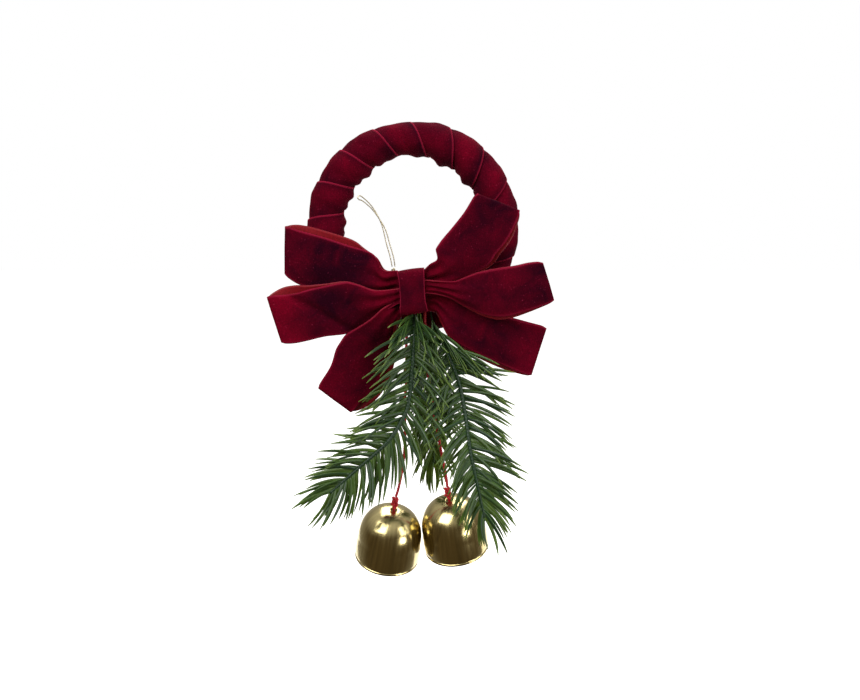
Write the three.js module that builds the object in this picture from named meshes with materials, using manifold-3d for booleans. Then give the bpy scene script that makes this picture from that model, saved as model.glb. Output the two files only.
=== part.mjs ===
// A hanging Christmas ornament: a velvet-wrapped hoop with a six-loop velvet bow, three sprigs of
// moulded pine and two small brass bells with clappers, each bell on its own red cord.
// Millimetres. +Z is up and the front of the ornament faces -Y. The origin is on the inside of the
// hoop at its top, where the ornament rests on the peg that it hangs from.
import * as THREE from "three";
import { mergeVertices } from "three/addons/utils/BufferGeometryUtils.js";
import Module from "manifold-3d";

// ---- driving dimensions -------------------------------------------------------------------------

const GAP = 0.3; // left between two pieces that touch
const WELD = 0.01; // corners this close are one corner

const HOOP_RADIUS = 43.2; // hoop's centre line
const HOOP_SECTION = 8.4; // outside radius of the hoop's section, ribbon included
const WRAP_THICKNESS = 1.1; // spiral-wound ribbon, with its overlap
const WRAP_BREAK = 5; // bare length of the hoop under the bow, between the ribbon's two ends

const RIBBON_WIDTH = 24.5; // of the bow's loops, at their folds
const RIBBON_THICKNESS = 1.2; // velvet pile and backing
const LOOP_OPENING = 6.4; // depth of a bow loop at its fullest, outside to outside
const GATHER_HEIGHT = 15.4; // of the three ribbons, side by side and gathered inside the knot
const LOOP_GATHER = 7.2; // width of one loop where it leaves the knot

const KNOT_WIDTH = 12.8; // of the band round the middle of the bow
const KNOT_TURN = 8; // degrees that the band leans to the left
const KNOT_CENTRE_Z = -64.3;

const TIE_WIRE_RADIUS = 0.45;

const STEM_RADIUS = 0.5; // steel wire of a sprig
const SLEEVE_RADIUS = 1.25; // moulded sleeve that the needles grow from
const NEEDLE_LENGTH = 22;
const NEEDLE_RADIUS = 0.75; // at its root
const NEEDLE_STEP = 7; // along the stem, between two needles of one row

const CORD_RADIUS = 0.7; // braided red cord of a bell
const CORD_KNOT_RADIUS = 1.9;
const THREAD_RADIUS = 0.3; // gold hanging thread
const THREAD_KNOT_RADIUS = 1.1;
const THREAD_Y = -11.2; // depth of the slack loop, in front of the hoop

const BELL_HEIGHT = 29.5;
const BELL_MOUTH_RADIUS = 16.8; // over the rolled lip
const BELL_BODY_RADIUS = 16.4; // just above the lip
const BELL_SHOULDER_RADIUS = 15.9; // where the straight side meets the domed crown
const BELL_SHOULDER_HEIGHT = 12; // above the mouth
const BELL_LIP = 1.5; // height of the lip
const BELL_WALL = 0.8;
const BELL_HOLE_RADIUS = 1.5; // in the crown, for the cord
const BELL_TILT = 17; // degrees that a bell's mouth hangs back
const CLAPPER_RADIUS = 4;
const CLAPPER_LENGTH = 15.5; // from its pivot to the middle of the ball
const CLAPPER_WIRE = 0.4; // radius of the clapper's rod and of its eye
const LINK_RADIUS = 1.6; // centre line of the cord loop that the clapper hangs from

// ---- materials ----------------------------------------------------------------------------------

const velvet = new THREE.MeshStandardMaterial({ color: 0x4a0012, roughness: 0.95 });
const foliage = new THREE.MeshStandardMaterial({ color: 0x27452b, roughness: 0.6 });
const wire = new THREE.MeshStandardMaterial({ color: 0x2c3a2c, roughness: 0.5, metalness: 0.6 });
const board = new THREE.MeshStandardMaterial({ color: 0x8a8378, roughness: 0.8 });
const redCord = new THREE.MeshStandardMaterial({ color: 0xc0101c, roughness: 0.8 });
const goldThread = new THREE.MeshStandardMaterial({ color: 0xb8953e, roughness: 0.4, metalness: 0.7 });
const brass = new THREE.MeshStandardMaterial({ color: 0xc9b273, roughness: 0.22, metalness: 1 });
const steel = new THREE.MeshStandardMaterial({ color: 0xa9a9a4, roughness: 0.35, metalness: 1 });

// ---- solids -------------------------------------------------------------------------------------

const wasm = await Module();
wasm.setup();

const ornament = new THREE.Group();
const degrees = THREE.MathUtils.degToRad;
const point = (x, y, z) => new THREE.Vector3(x, y, z);

// A closed geometry as a solid that can be joined and cut.
function solid(geometry) {
  const bare = geometry.clone();
  bare.deleteAttribute("normal");
  bare.deleteAttribute("uv");
  const merged = mergeVertices(bare, 1e-4);
  return new wasm.Manifold(
    new wasm.Mesh({
      numProp: 3,
      vertProperties: merged.attributes.position.array,
      triVerts: new Uint32Array(merged.index.array),
    }),
  );
}

// A joined or cut solid as a geometry. Corners closer together than WELD become one corner, found on
// a grid and again on a grid half a step off, and the triangles that this flattens are left out.
function geometryOf(body) {
  const { vertProperties, triVerts } = body.getMesh();
  const geometry = new THREE.BufferGeometry();
  geometry.setAttribute("position", new THREE.BufferAttribute(vertProperties, 3));
  geometry.setIndex(new THREE.BufferAttribute(triVerts, 1));
  const half = WELD / 2;
  const shifted = mergeVertices(geometry, WELD).translate(half, half, half);
  const welded = mergeVertices(shifted, WELD).translate(-half, -half, -half);
  const corners = welded.index.array;
  const kept = [];
  for (let i = 0; i < corners.length; i += 3) {
    const [a, b, c] = [corners[i], corners[i + 1], corners[i + 2]];
    if (a !== b && b !== c && c !== a) kept.push(a, b, c);
  }
  return welded.setIndex(kept);
}

const joined = (geometries) =>
  geometries.map(solid).reduce((whole, next) => whole.add(next));

function piece(parent, name, shape, material) {
  const geometry = shape.isBufferGeometry ? shape : geometryOf(shape);
  const mesh = new THREE.Mesh(geometry, material);
  mesh.name = name;
  parent.add(mesh);
  return mesh;
}

// A round bar of the given radius along a curve.
function bar(curve, radius, sides, steps) {
  const section = new THREE.Shape();
  for (let i = 0; i <= sides; i++) {
    const turn = (2 * Math.PI * i) / sides;
    const [x, y] = [radius * Math.cos(turn), radius * Math.sin(turn)];
    if (i === 0) section.moveTo(x, y);
    else section.lineTo(x, y);
  }
  return new THREE.ExtrudeGeometry(section, { steps, extrudePath: curve, curveSegments: 1 });
}

const smoothCurve = (points) =>
  new THREE.CatmullRomCurve3(points.map((p) => point(...p)), false, "centripetal");

// The stretch of a curve between two shares of its length.
function stretch(curve, from, to, steps) {
  const points = [];
  for (let i = 0; i <= steps; i++)
    points.push(curve.getPointAt(from + ((to - from) * i) / steps));
  return new THREE.CatmullRomCurve3(points, false, "centripetal");
}

function ball(radius, centre, across = 10, rings = 6) {
  return new THREE.SphereGeometry(radius, across, rings).translate(...centre);
}

// A straight rod of one radius between two heights on the Z axis.
function uprightRod(radius, low, high, sides = 8) {
  return new THREE.CylinderGeometry(radius, radius, high - low, sides)
    .rotateX(Math.PI / 2)
    .translate(0, 0, (low + high) / 2);
}

// ---- hoop: a moulded ring inside a spiral of velvet ribbon --------------------------------------

const HOOP_CENTRE_Z = HOOP_SECTION - HOOP_RADIUS;
const HOOP_LOW_Z = HOOP_CENTRE_Z - HOOP_RADIUS; // section's centre under the bow
const HOOP_SIDES = 8;

// Every layer of the hoop has the same corners, so that they nest.
function hoopRing(sectionRadius) {
  return new THREE.TorusGeometry(HOOP_RADIUS, sectionRadius, HOOP_SIDES, 32)
    .rotateX(Math.PI / 2)
    .translate(0, 0, HOOP_CENTRE_Z);
}

function buildHoop() {
  const wrapInside = HOOP_SECTION - WRAP_THICKNESS;
  const bareStretch = new THREE.BoxGeometry(WRAP_BREAK, 3 * HOOP_SECTION, 3 * HOOP_SECTION)
    .translate(0, 0, HOOP_LOW_Z);
  const wrap = solid(hoopRing(HOOP_SECTION))
    .subtract(solid(hoopRing(wrapInside)))
    .subtract(solid(bareStretch));
  piece(ornament, "hoop_core", hoopRing(wrapInside - GAP), board);
  piece(ornament, "hoop_ribbon", wrap, velvet);
}

// ---- what is tied in front of the hoop: its place, and its depth from the hoop forwards ----------

// The bow, the sprigs and the bells are laid out about these two places, and their group is moved to
// where the hoop puts them.
const LAID_OUT_LOW_Z = -78; // hoop's lowest centre
const TIED_Y = -9.6; // stems and cords, side by side
const NESTLED = 0.35; // how far a stem's sleeve lies into the flat of the hoop's section
const tiedOn = new THREE.Group();
tiedOn.position.set(
  0,
  -HOOP_SECTION - GAP - SLEEVE_RADIUS + NESTLED - TIED_Y,
  HOOP_LOW_Z - LAID_OUT_LOW_Z,
);
ornament.add(tiedOn);
const KNOT_BACK_Y = TIED_Y - Math.max(STEM_RADIUS, CORD_RADIUS) - 2 * GAP;
const TIE_WIRE_Y = KNOT_BACK_Y - RIBBON_THICKNESS - GAP - TIE_WIRE_RADIUS;
const PLY = 2 * RIBBON_THICKNESS; // a ribbon's two layers, pressed together in the knot
const LEVEL_STEP = PLY + GAP; // from one of the bow's three ribbons to the next
const BACK_LEVEL_Y = TIE_WIRE_Y - TIE_WIRE_RADIUS - GAP - PLY / 2;
const KNOT_FRONT_Y = BACK_LEVEL_Y - 2 * LEVEL_STEP - PLY / 2 - GAP - RIBBON_THICKNESS;

// ---- bow: three ribbons, each folded into two loops, and the band round their middle ------------

// The outline of a loop from the front: a strip that leaves the knot level, swings towards its
// fold and widens from the gather to the ribbon's full width.
function loopOutline({ exit, fold, foldAngle, width }) {
  const start = new THREE.Vector2(...exit);
  const end = new THREE.Vector2(...fold);
  const side = Math.sign(exit[0]);
  const bend = new THREE.Vector2(start.x + 0.3 * (end.x - start.x), start.y);
  const run = new THREE.QuadraticBezierCurve(start, bend, end);
  const foldLine = new THREE.Vector2(Math.cos(degrees(foldAngle)), Math.sin(degrees(foldAngle)));
  const upper = [];
  const lower = [];
  const steps = 7;
  for (let i = 0; i <= steps; i++) {
    const t = i / steps;
    const middle = run.getPoint(t);
    const along = run.getTangent(t);
    const across = new THREE.Vector2(-along.y, along.x).multiplyScalar(side);
    across.lerp(foldLine, t * t).normalize();
    const full = THREE.MathUtils.smoothstep(t, 0, 0.8);
    const half = THREE.MathUtils.lerp(LOOP_GATHER, width, full) / 2;
    upper.push(middle.clone().addScaledVector(across, half));
    lower.unshift(middle.clone().addScaledVector(across, -half));
  }
  return new THREE.Shape([...upper, ...lower]);
}

// The section of a loop, seen along its edge: two layers that leave the knot pressed together, part
// to the loop's full depth and meet again round the fold. It runs along x, with depth along y.
function loopSection(length, level, belly) {
  const half = LOOP_OPENING / 2;
  const foldRadius = 0.55 * half;
  const stations = [
    [0.12 * length, level, RIBBON_THICKNESS + 0.15],
    [0.32 * length, THREE.MathUtils.lerp(level, belly, 0.55), 0.75 * half],
    [0.6 * length, belly, half],
    [0.85 * length, belly, 0.85 * half],
  ];
  const layer = (inset, sign) =>
    stations.map(([x, y, h]) => new THREE.Vector2(x, y + sign * (h - inset)));
  const section = new THREE.Shape();
  const back = -RIBBON_WIDTH / 4; // the strip runs on into the knot
  const root = RIBBON_THICKNESS - 0.1;
  section.moveTo(back, level - root);
  section.lineTo(0, level - root);
  section.splineThru(layer(0, -1));
  section.absarc(length - foldRadius, belly, foldRadius, -Math.PI / 2, Math.PI / 2, false);
  section.splineThru(layer(0, 1).reverse());
  section.lineTo(0, level + root);
  section.lineTo(back, level + root);
  section.closePath();
  const inside = new THREE.Path();
  inside.moveTo(0.08 * length, level);
  const open = (sign) => layer(RIBBON_THICKNESS, sign);
  inside.splineThru(open(1));
  inside.absarc(
    length - foldRadius,
    belly,
    foldRadius - RIBBON_THICKNESS,
    Math.PI / 2,
    -Math.PI / 2,
    true,
  );
  inside.splineThru(open(-1).reverse());
  inside.closePath();
  section.holes.push(inside);
  return section;
}

function bowLoop(loop, level) {
  const [run, rise] = [loop.fold[0] - loop.exit[0], loop.fold[1] - loop.exit[1]];
  const length = Math.hypot(run, rise);
  const outline = new THREE.ExtrudeGeometry(loopOutline(loop), { depth: 60, bevelEnabled: false })
    .rotateX(Math.PI / 2)
    .translate(0, 15, 0);
  // The section's x follows the loop, its y is the ornament's y, and it is swept across the ribbon.
  const layers = new THREE.ExtrudeGeometry(loopSection(length, level, loop.belly), {
    depth: 3 * RIBBON_WIDTH,
    bevelEnabled: false,
    curveSegments: 3,
  })
    .translate(0, 0, -1.5 * RIBBON_WIDTH)
    .rotateY(-Math.atan2(rise, run))
    .translate(loop.exit[0], 0, loop.exit[1]);
  return solid(outline).intersect(solid(layers));
}

const EXIT_X = KNOT_WIDTH / 2 + 1.2; // half the length that a ribbon runs level through the knot
const EXIT_STEP = 3.4; // from the knot's middle up or down to where a slanting loop leaves it

function bowRibbon(name, level, loops) {
  const middle = new THREE.BoxGeometry(2 * EXIT_X + 2, PLY, GATHER_HEIGHT - 1.6)
    .translate(0, level, KNOT_CENTRE_Z);
  const ribbon = loops.reduce((whole, loop) => whole.add(bowLoop(loop, level)), solid(middle));
  piece(tiedOn, name, ribbon, velvet);
}

function buildBow() {
  const back = BACK_LEVEL_Y;
  const middle = back - LEVEL_STEP;
  const front = middle - LEVEL_STEP;
  const rearBelly = KNOT_BACK_Y - GAP - LOOP_OPENING / 2;
  const middleBelly = rearBelly - LOOP_OPENING - GAP;
  const frontBelly = middleBelly - LOOP_OPENING - GAP;
  const z = KNOT_CENTRE_Z;
  const full = RIBBON_WIDTH;
  const less = full - 2; // seen across a loop that turns a little edge on
  bowRibbon("back_bow_ribbon", back, [
    { exit: [-EXIT_X, z + EXIT_STEP], fold: [-61, -46], foldAngle: 88, width: full, belly: rearBelly },
    { exit: [EXIT_X, z - EXIT_STEP], fold: [61, -94], foldAngle: 73, width: full, belly: rearBelly },
  ]);
  bowRibbon("middle_bow_ribbon", middle, [
    { exit: [-EXIT_X, z - EXIT_STEP], fold: [-37.5, -117.5], foldAngle: 143, width: less, belly: rearBelly },
    { exit: [EXIT_X, z + EXIT_STEP], fold: [40.5, -23], foldAngle: 160, width: less, belly: middleBelly },
  ]);
  bowRibbon("front_bow_ribbon", front, [
    { exit: [-EXIT_X, z], fold: [-65, -77], foldAngle: 104, width: full, belly: frontBelly },
    { exit: [EXIT_X, z], fold: [64, -60], foldAngle: 108, width: full - 3, belly: frontBelly },
  ]);
}

// The knot band: one turn of ribbon round the gathered middle, open at both sides.
function buildKnotBand() {
  const corner = 1.6;
  const rounded = (width, height, radius) => {
    const shape = new THREE.Shape();
    const [x, y] = [width / 2, height / 2];
    shape.moveTo(-x + radius, -y);
    shape.lineTo(x - radius, -y);
    shape.absarc(x - radius, -y + radius, radius, -Math.PI / 2, 0, false);
    shape.absarc(x - radius, y - radius, radius, 0, Math.PI / 2, false);
    shape.absarc(-x + radius, y - radius, radius, Math.PI / 2, Math.PI, false);
    shape.absarc(-x + radius, -y + radius, radius, Math.PI, 1.5 * Math.PI, false);
    return shape;
  };
  const depth = KNOT_BACK_Y - KNOT_FRONT_Y;
  // Room inside for the gathered ribbons, which stay level while the band leans.
  const lean = (KNOT_WIDTH / 2) * Math.tan(degrees(KNOT_TURN));
  const inside = GATHER_HEIGHT + 2 * (GAP + lean);
  const outside = inside + 2 * RIBBON_THICKNESS;
  const section = rounded(depth, outside, corner);
  section.holes.push(rounded(depth - 2 * RIBBON_THICKNESS, inside, corner / 2));
  // The section's x is depth and its y is height. It is swept across the band's width.
  const band = new THREE.ExtrudeGeometry(section, {
    depth: KNOT_WIDTH,
    bevelEnabled: false,
    curveSegments: 3,
  })
    .translate(0, 0, -KNOT_WIDTH / 2)
    .applyMatrix4(new THREE.Matrix4().makeBasis(point(0, 1, 0), point(0, 0, 1), point(1, 0, 0)));
  const mesh = piece(tiedOn, "knot_band", band, velvet);
  mesh.position.set(0, (KNOT_BACK_Y + KNOT_FRONT_Y) / 2, KNOT_CENTRE_Z);
  mesh.rotation.y = -degrees(KNOT_TURN);
}

// The wire that ties the bow on: through the knot behind the ribbons, out at its left side, down the
// front of the hoop, under and behind it, and back through the hoop into the knot's right side.
function buildTieWire() {
  const round = HOOP_SECTION + 2 * GAP + TIE_WIRE_RADIUS;
  const slant = round * Math.SQRT1_2;
  const out = EXIT_X - 0.1;
  const y = -tiedOn.position.y; // the hoop's centre, seen from the group
  const z = LAID_OUT_LOW_Z;
  const route = smoothCurve([
    [out - 3, TIE_WIRE_Y, KNOT_CENTRE_Z - 0.4],
    [0, TIE_WIRE_Y, KNOT_CENTRE_Z],
    [2 - out, TIE_WIRE_Y - 0.1, KNOT_CENTRE_Z],
    [-out - 0.4, TIE_WIRE_Y + 0.9, KNOT_CENTRE_Z - 2],
    [-out - 0.6, TIED_Y - 0.2, z + 4],
    [-out, y - round, z],
    [-out + 0.8, y - slant, z - slant],
    [-out + 2, y, z - round],
    [-out + 4.5, y + slant, z - slant],
    [0, y + round, z],
    [out - 4, y + slant, z + slant],
    [out - 2, y, z + round + 0.8],
    [out - 0.2, y - slant, z + round + 2],
    [out + 0.6, TIE_WIRE_Y + 1.4, KNOT_CENTRE_Z - 2],
    [out - 0.5, TIE_WIRE_Y - 0.1, KNOT_CENTRE_Z - 1.4],
  ]);
  piece(tiedOn, "bow_tie_wire", bar(route, TIE_WIRE_RADIUS, 6, 36), wire);
}

// ---- hanging thread: a slack loop of gold thread, knotted beside the bow's knot -----------------

function buildHangingThread() {
  const knot = [-EXIT_X - 1.6, KNOT_BACK_Y - 0.4, KNOT_CENTRE_Z + 9.6];
  const outline = [
    [-9.9, -53.1],
    [-10.9, -48],
    [-12.6, -42],
    [-14.6, -33.6],
    [-17.4, -27.4],
    [-20.6, -23],
    [-24, -19.9],
    [-25.4, -19.3],
    [-26.2, -20.2],
    [-25.4, -21.2],
    [-23.8, -21.8],
    [-19.8, -25.2],
    [-16.4, -29.6],
    [-13, -35.4],
    [-10.9, -42.6],
    [-9.3, -48.2],
    [-8.5, -53.1],
  ];
  const thread = smoothCurve(outline.map(([x, z]) => [x, THREAD_Y, z]));
  piece(tiedOn, "hanger_thread", bar(thread, THREAD_RADIUS, 8, 34), goldThread);
  piece(tiedOn, "hanger_knot", ball(THREAD_KNOT_RADIUS, knot, 8, 6), goldThread);
}

// ---- sprigs: moulded needles on a sleeve round a wire stem --------------------------------------

const SPRIGS = [
  {
    name: "left_sprig",
    bare: 0.13, // share of the stem above the first needle
    start: 1,
    route: [
      [0.5, TIED_Y, -70],
      [0.5, TIED_Y, -74.5],
      [0.6, -12.6, -78.6],
      [0.7, -17, -82.6],
      [0.7, -19.8, -88],
      [0.3, -21, -96],
      [-0.5, -22, -105],
      [-1.4, -23, -114.5],
      [-3.8, -24.5, -123.4],
      [-11.7, -27.5, -135.6],
      [-24.5, -30, -147],
      [-39.3, -32, -159.8],
    ],
  },
  {
    name: "right_sprig",
    bare: 0.2,
    start: 0,
    route: [
      [8.4, TIED_Y, -74],
      [9.2, TIED_Y, -79],
      [13.2, -13, -87.5],
      [18.2, -16.5, -97.7],
      [22.8, -20, -110],
      [25.7, -24, -125.5],
      [27.7, -29, -140],
      [30.6, -32, -154],
      [34.4, -33, -171.4],
    ],
  },
  {
    name: "middle_sprig",
    bare: 0.3,
    start: 0,
    route: [
      [3.1, TIED_Y, -72],
      [3.3, TIED_Y, -80],
      [4.2, -8.8, -88.5],
      [6.4, -4.5, -98],
      [8.6, -1.5, -108],
      [10, 0.6, -122],
      [10.4, 2, -140],
      [10.4, 3, -154],
    ],
  },
];

// One needle: a thin tapering spike from the middle of the stem, pointing outwards and down.
function needle(root, along, side, angle, length) {
  const outwards = point(along.z, 0, -along.x).normalize().multiplyScalar(side);
  const aim = along.clone().multiplyScalar(Math.cos(angle));
  aim.addScaledVector(outwards, Math.sin(angle)).normalize();
  const spike = new THREE.CylinderGeometry(NEEDLE_RADIUS / 2.5, NEEDLE_RADIUS, length, 4);
  spike.translate(0, length / 2, 0);
  spike.applyQuaternion(new THREE.Quaternion().setFromUnitVectors(point(0, 1, 0), aim));
  return spike.translate(root.x, root.y, root.z);
}

function buildSprig({ name, bare, start, route }) {
  const stem = smoothCurve(route);
  const length = stem.getLength();
  const tip = 0.97; // the wire stops short of the sleeve's end
  piece(tiedOn, name + "_stem", bar(stretch(stem, 0, tip, 14), STEM_RADIUS, 6, 16), wire);
  const sleeve = stretch(stem, bare, 1, 14);
  const bore = stretch(stem, bare / 2, tip + GAP / length, 14);
  const spikes = [bar(sleeve, SLEEVE_RADIUS, 6, 16)];
  const sleeveLength = length * (1 - bare);
  const rows = Math.floor(sleeveLength / NEEDLE_STEP);
  for (let i = start; i < rows; i++) {
    for (const side of [-1, 1]) {
      const share = bare + ((i + 0.35 + 0.25 * side) * NEEDLE_STEP) / length;
      const spread = degrees(44 - (10 * i) / rows);
      const at = stem.getPointAt(share);
      spikes.push(needle(at, stem.getTangentAt(share), side, spread, NEEDLE_LENGTH));
    }
  }
  const needles = joined(spikes).subtract(solid(bar(bore, STEM_RADIUS + GAP, 6, 16)));
  piece(tiedOn, name + "_needles", needles, foliage);
}

// ---- bells --------------------------------------------------------------------------------------

// Outside or inside radius of a bell at a height above its mouth. The crown is a squared dome.
function bellRadius(height, inset) {
  if (height < BELL_SHOULDER_HEIGHT) {
    const share = height / BELL_SHOULDER_HEIGHT;
    return THREE.MathUtils.lerp(BELL_BODY_RADIUS, BELL_SHOULDER_RADIUS, share) - inset;
  }
  const squareness = 2.4;
  const rise = (height - BELL_SHOULDER_HEIGHT) / (BELL_HEIGHT - inset - BELL_SHOULDER_HEIGHT);
  const dome = (1 - Math.min(rise, 1) ** squareness) ** (1 / squareness);
  return Math.max((BELL_SHOULDER_RADIUS - inset) * dome, BELL_HOLE_RADIUS);
}

// Heights from the shoulder to the top of the crown, closer together where the dome turns in.
function crownHeights(top) {
  return [0.3, 0.55, 0.75, 0.9, 0.975, 1].map((share) =>
    THREE.MathUtils.lerp(BELL_SHOULDER_HEIGHT, top, share),
  );
}

// The bell hangs from the origin, its crown's top, along -Z.
function bellShell() {
  const profile = [];
  const inner = [0, BELL_SHOULDER_HEIGHT, ...crownHeights(BELL_HEIGHT - BELL_WALL)];
  for (const height of inner)
    profile.push(new THREE.Vector2(bellRadius(height, BELL_WALL), height));
  const outer = [...crownHeights(BELL_HEIGHT).reverse(), BELL_SHOULDER_HEIGHT, 2 * BELL_LIP];
  for (const height of outer) profile.push(new THREE.Vector2(bellRadius(height, 0), height));
  profile.push(new THREE.Vector2(BELL_MOUTH_RADIUS, BELL_LIP / 2));
  profile.push(new THREE.Vector2(BELL_MOUTH_RADIUS, 0));
  profile.push(profile[0].clone());
  return new THREE.LatheGeometry(profile.reverse(), 24)
    .rotateX(Math.PI / 2)
    .translate(0, 0, -BELL_HEIGHT);
}

const KNOT_LOW = 1; // underside of the cord's knot above the crown
const STOPPER_RADIUS = 1.8; // of the knot inside the crown
const STOPPER_Z = -BELL_WALL - GAP - STOPPER_RADIUS;
const LINK_Z = STOPPER_Z - STOPPER_RADIUS - GAP - LINK_RADIUS - CLAPPER_WIRE;
const CLAPPER_PIVOT_Z = LINK_Z - LINK_RADIUS;

// Two lumps of a double knot, one on the other, above the crown.
function doubleKnot() {
  const low = KNOT_LOW + CORD_KNOT_RADIUS;
  const high = low + 1.3 * CORD_KNOT_RADIUS;
  return joined([
    ball(CORD_KNOT_RADIUS, [0, 0, low], 8, 6),
    ball(0.9 * CORD_KNOT_RADIUS, [-0.5, 0, high], 8, 6),
  ]);
}

// The knot that stops the cord inside the crown, with the cord's end up through the hole.
function stopperKnot() {
  return joined([
    ball(STOPPER_RADIUS, [0, 0, STOPPER_Z], 8, 6),
    uprightRod(CORD_RADIUS, STOPPER_Z, KNOT_LOW - GAP),
  ]);
}

// The clapper's eye hooks round the bottom of the cord loop, and its rod ends in the ball.
function clapperRod() {
  const eyeRadius = CLAPPER_WIRE + 1.1;
  const eyeZ = CLAPPER_PIVOT_Z + CLAPPER_WIRE + GAP + CLAPPER_WIRE - eyeRadius;
  const eye = new THREE.TorusGeometry(eyeRadius, CLAPPER_WIRE, 6, 12)
    .rotateX(Math.PI / 2)
    .translate(0, 0, eyeZ);
  const end = CLAPPER_PIVOT_Z - CLAPPER_LENGTH;
  return joined([eye, uprightRod(CLAPPER_WIRE, end, eyeZ - eyeRadius, 6)]);
}

function clapperBall() {
  const centre = CLAPPER_PIVOT_Z - CLAPPER_LENGTH;
  const bore = uprightRod(CLAPPER_WIRE + GAP, centre - GAP, centre + 2 * CLAPPER_RADIUS, 6);
  return solid(ball(CLAPPER_RADIUS, [0, 0, centre], 12, 8)).subtract(solid(bore));
}

const LAID_OUT_BELL_RADIUS = 16.4; // that the two bells' places are drawn for

// One bell on its cord. The crown's place and the bell's lean are the ornament's own. The cord ends
// on the bell's axis, just above the double knot, and wider bells hang further apart.
function buildBell(side, { crown, lean, cord, outwards }) {
  const apart = outwards * (BELL_BODY_RADIUS - LAID_OUT_BELL_RADIUS);
  const bell = new THREE.Group();
  bell.position.set(crown[0] + apart, crown[1], crown[2]);
  bell.rotation.set(degrees(BELL_TILT), degrees(lean), 0, "YXZ");
  tiedOn.add(bell);
  const route = cord.map(([x, y, z], i) => [x + (apart * i) / (cord.length - 1), y, z]);
  piece(bell, side + "_bell", bellShell(), brass);
  piece(bell, side + "_cord_knot", doubleKnot(), redCord);
  piece(bell, side + "_stopper_knot", stopperKnot(), redCord);
  const link = new THREE.TorusGeometry(LINK_RADIUS, CLAPPER_WIRE, 6, 12)
    .rotateY(Math.PI / 2)
    .translate(0, 0, LINK_Z);
  piece(bell, side + "_clapper_loop", link, redCord);
  piece(bell, side + "_clapper_rod", clapperRod(), steel);
  piece(bell, side + "_clapper_ball", clapperBall(), steel);
  piece(tiedOn, side + "_cord", bar(smoothCurve(route), CORD_RADIUS, 8, 26), redCord);
}

// ---- the ornament -------------------------------------------------------------------------------

buildHoop();
buildBow();
buildKnotBand();
buildTieWire();
buildHangingThread();
SPRIGS.forEach(buildSprig);

buildBell("left", {
  crown: [-9.7, TIED_Y, -174.6],
  lean: 8.5,
  outwards: -1,
  cord: [
    [-2.2, TIED_Y, -74],
    [-2.6, TIED_Y, -82],
    [-3.2, TIED_Y, -92],
    [-3.2, TIED_Y, -107],
    [-4, TIED_Y, -120],
    [-4.1, TIED_Y, -141],
    [-5.4, TIED_Y, -154],
    [-7.2, TIED_Y - 1.2, -163],
    [-8.6, TIED_Y - 2.2, -167.6],
  ],
});

buildBell("right", {
  crown: [18, TIED_Y, -169.6],
  lean: -8.5,
  outwards: 1,
  cord: [
    [5.9, TIED_Y, -74],
    [6, TIED_Y, -82],
    [6.4, TIED_Y, -96],
    [8.8, TIED_Y, -116],
    [12.6, TIED_Y, -138],
    [15.4, TIED_Y - 0.6, -152],
    [16.6, TIED_Y - 1.5, -158.6],
    [17, TIED_Y - 2.2, -162.6],
  ],
});

export default ornament;
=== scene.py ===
"""The looks of a hanging Christmas ornament: a velvet-wrapped hoop with a velvet bow, sprigs of
moulded pine and two brass bells on red cords. Lengths are written in millimetres, in the frame of
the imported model, and MM turns them to metres."""

import math

import bpy
import numpy as np
from mathutils import Matrix, Vector


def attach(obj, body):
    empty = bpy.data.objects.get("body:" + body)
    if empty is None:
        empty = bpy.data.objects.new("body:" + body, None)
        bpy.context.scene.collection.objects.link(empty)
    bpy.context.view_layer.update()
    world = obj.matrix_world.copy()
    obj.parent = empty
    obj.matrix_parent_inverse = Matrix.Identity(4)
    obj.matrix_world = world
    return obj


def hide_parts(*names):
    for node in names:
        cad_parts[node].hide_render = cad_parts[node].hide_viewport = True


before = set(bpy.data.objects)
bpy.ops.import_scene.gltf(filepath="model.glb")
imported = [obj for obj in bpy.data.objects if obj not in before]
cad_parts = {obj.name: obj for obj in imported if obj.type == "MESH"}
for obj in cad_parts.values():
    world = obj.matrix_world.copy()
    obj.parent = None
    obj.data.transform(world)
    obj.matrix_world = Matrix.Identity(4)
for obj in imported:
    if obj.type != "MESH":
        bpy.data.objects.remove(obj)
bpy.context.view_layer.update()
MM = 0.001

# ---- camera --------------------------------------------------------------------------------------
# Level with the hole of the hoop, from half a metre away, and looking down by eight degrees.

lens = bpy.data.cameras.new("camera")
lens.sensor_width, lens.lens = 36.0, 41.86
camera = bpy.data.objects.new("camera", lens)
camera.location = (0.0084, -0.4951, -0.0258)
camera.rotation_euler = (math.radians(82), 0, 0)
bpy.context.scene.collection.objects.link(camera)
bpy.context.scene.camera = camera

# ---- red cords -----------------------------------------------------------------------------------
# Each bell hangs on a thin cord of three twisted red polyester strands. Both cords are tied in under
# the bow with the sprigs, and end in the knot on top of their bell.


def linear(code):
    """A hex sRGB colour as linear red, green, blue and alpha."""
    parts = [int(code[i : i + 2], 16) / 255 for i in (1, 3, 5)]
    return tuple(p / 12.92 if p <= 0.04045 else ((p + 0.055) / 1.055) ** 2.4 for p in parts) + (1.0,)


def add(tree, kind, inputs=None, **settings):
    """One node with its settings. An input is a value, or the output that feeds it."""
    node = tree.nodes.new(kind)
    for key, value in settings.items():
        setattr(node, key, value)
    for key, value in (inputs or {}).items():
        if isinstance(value, bpy.types.NodeSocket):
            tree.links.new(value, node.inputs[key])
        else:
            node.inputs[key].default_value = value
    return node


def finish(name, **settings):
    """A new material with one Principled shader: it, its node tree and that shader."""
    material = bpy.data.materials.new(name)
    material.use_nodes = True
    tree = material.node_tree
    tree.nodes.clear()
    shader = add(tree, "ShaderNodeBsdfPrincipled", settings)
    add(tree, "ShaderNodeOutputMaterial", {"Surface": shader.outputs[0]})
    return material, tree, shader


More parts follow.
